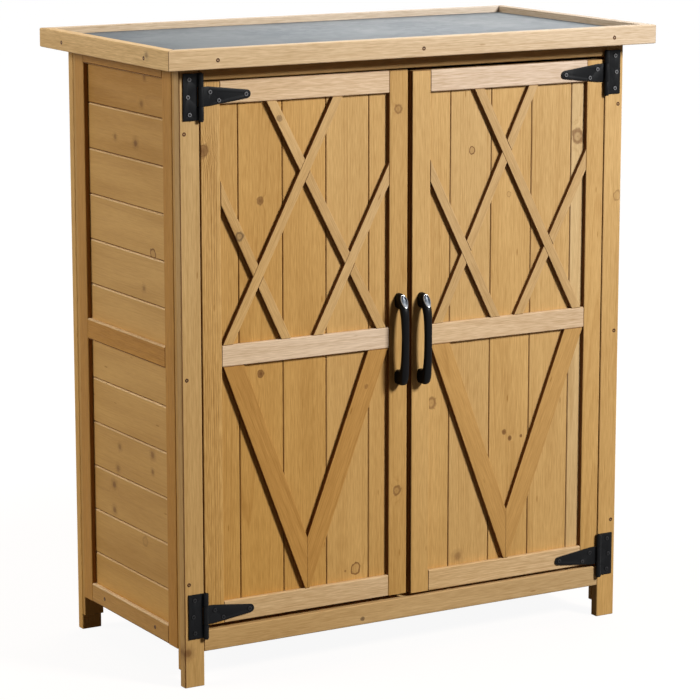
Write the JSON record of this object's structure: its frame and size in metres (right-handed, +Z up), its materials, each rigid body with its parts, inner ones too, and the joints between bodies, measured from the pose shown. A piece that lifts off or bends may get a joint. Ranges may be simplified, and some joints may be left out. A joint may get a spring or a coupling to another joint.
{
  "type": "garden tool cabinet",
  "caption": "Low wooden garden tool shed with boarded sides, lattice and V braced double doors on black strap hinges, bow handles and a flat rimmed metal roof.",
  "frame": {"origin": "on the floor under the middle of the roof", "axes": "+X to the right seen from the front, +Y to the back, +Z up"},
  "size_m": [0.8716, 0.4486, 0.98],
  "materials": {
    "fir_frame": "clear satin stain",
    "fir_boards": "clear satin stain",
    "fir_inner": "sawn, lightly stained",
    "black_steel": "satin black",
    "black_screws": "satin black",
    "steel_screws": "zinc plated",
    "galvanised_sheet": "matte galvanised",
    "handle_black": "satin",
    "handle_chrome": "polished",
    "catch_plastic": "moulded"
  },
  "bodies": {
    "left_door": {"left_door_boards": "fir_boards", "left_door_bottom_rail": "fir_frame", "left_door_braces": "fir_frame", "left_door_handle": "handle_black", "left_door_handle_cap": "handle_chrome", "left_door_handle_screws": "steel_screws", "left_door_hinge_stile": "fir_frame", "left_door_hinge_straps": "black_steel", "left_door_lattice": "fir_frame", "left_door_meeting_stile": "fir_frame", "left_door_middle_rail": "fir_frame", "left_door_strap_screws": "black_screws", "left_door_strike_plate": "steel_screws", "left_door_top_rail": "fir_frame"},
    "right_door": {"right_door_boards": "fir_boards", "right_door_bottom_rail": "fir_frame", "right_door_braces": "fir_frame", "right_door_handle": "handle_black", "right_door_handle_cap": "handle_chrome", "right_door_handle_screws": "steel_screws", "right_door_hinge_stile": "fir_frame", "right_door_hinge_straps": "black_steel", "right_door_lattice": "fir_frame", "right_door_meeting_stile": "fir_frame", "right_door_middle_rail": "fir_frame", "right_door_strap_screws": "black_screws", "right_door_strike_plate": "steel_screws", "right_door_top_rail": "fir_frame"},
    "cabinet": {"back_boards": "fir_inner", "back_rails": "fir_inner", "floor_bearers": "fir_inner", "floor_boards": "fir_inner", "frame_screws": "steel_screws", "front_bottom_rail": "fir_frame", "front_left_post": "fir_frame", "front_right_post": "fir_frame", "front_top_rail": "fir_frame", "hinge_leaf_screws": "black_screws", "hinge_pins": "black_steel", "left_hinge_leaves": "black_steel", "left_side_boards": "fir_boards", "left_side_rails": "fir_frame", "left_side_stiles": "fir_frame", "magnetic_catches": "catch_plastic", "post_backing_strips": "fir_inner", "rear_left_post": "fir_frame", "rear_right_post": "fir_frame", "right_hinge_leaves": "black_steel", "right_side_boards": "fir_boards", "right_side_rails": "fir_frame", "right_side_stiles": "fir_frame", "roof_deck_boards": "fir_inner", "roof_front_rail": "fir_frame", "roof_left_rail": "fir_frame", "roof_rear_rail": "fir_frame", "roof_right_rail": "fir_frame", "roof_screws": "steel_screws", "roof_sheet": "galvanised_sheet", "shelf_boards": "fir_inner", "shelf_cleats": "fir_inner"}
  },
  "joints": [
    {"name": "left_door_swing", "type": "hinge", "parent": "cabinet", "child": "left_door", "pos_m": [-0.36525, -0.1895, 0.5095], "axis": [0, 0, -1], "range_deg": [0, 170]},
    {"name": "right_door_swing", "type": "hinge", "parent": "cabinet", "child": "right_door", "pos_m": [0.36525, -0.1895, 0.5095], "axis": [0, 0, 1], "range_deg": [0, 170]}
  ]
}
